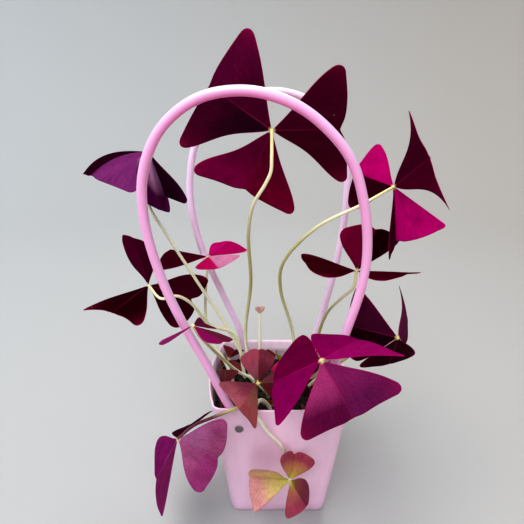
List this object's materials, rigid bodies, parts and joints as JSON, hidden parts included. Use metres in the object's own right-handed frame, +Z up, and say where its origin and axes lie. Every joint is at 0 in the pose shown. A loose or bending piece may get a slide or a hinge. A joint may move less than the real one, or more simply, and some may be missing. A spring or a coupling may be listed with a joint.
{
  "type": "potted wood sorrel",
  "caption": "Purple wood sorrel with three-part leaves on thin pale stalks, growing in a small tapered square pot with two hooped tube handles.",
  "frame": {"origin": "middle of the pot's flat underside", "axes": "+Z up, -Y towards the front, +X to the viewer's right of the front"},
  "size_m": [0.2249, 0.148, 0.2981],
  "materials": {
    "pot_board": "satin",
    "handle_tube": "gloss",
    "pin": "satin",
    "leaf_purple": "satin",
    "leaf_violet": "satin",
    "leaf_old": "satin",
    "leaf_young": "satin",
    "stalk": "satin",
    "soil": "matte"
  },
  "bodies": {
    "root": {"pot": "pot_board", "handle_front": "handle_tube", "handle_back": "handle_tube", "pin_front_left": "pin", "pin_front_right": "pin", "pin_back_left": "pin", "pin_back_right": "pin", "blade_crown": "leaf_purple", "stalk_crown": "stalk", "blade_left_high": "leaf_violet", "stalk_left_high": "stalk", "blade_right_high": "leaf_purple", "stalk_right_high": "stalk", "blade_right_mid": "leaf_purple", "stalk_right_mid": "stalk", "blade_right_low": "leaf_purple", "stalk_right_low": "stalk", "blade_front_right": "leaf_purple", "stalk_front_right": "stalk", "blade_left_mid": "leaf_purple", "stalk_left_mid": "stalk", "blade_centre_left": "leaf_purple", "stalk_centre_left": "stalk", "blade_left_low": "leaf_purple", "stalk_left_low": "stalk", "blade_front_left": "leaf_old", "stalk_front_left": "stalk", "blade_hanging_left": "leaf_violet", "stalk_hanging_left": "stalk", "blade_hanging_front": "leaf_old", "stalk_hanging_front": "stalk", "blade_inner_left": "leaf_old", "stalk_inner_left": "stalk", "blade_inner_low": "leaf_old", "stalk_inner_low": "stalk", "blade_inner_right": "leaf_purple", "stalk_inner_right": "stalk", "blade_bud": "leaf_young", "stalk_bud": "stalk", "soil": "soil"}
  },
  "joints": []
}
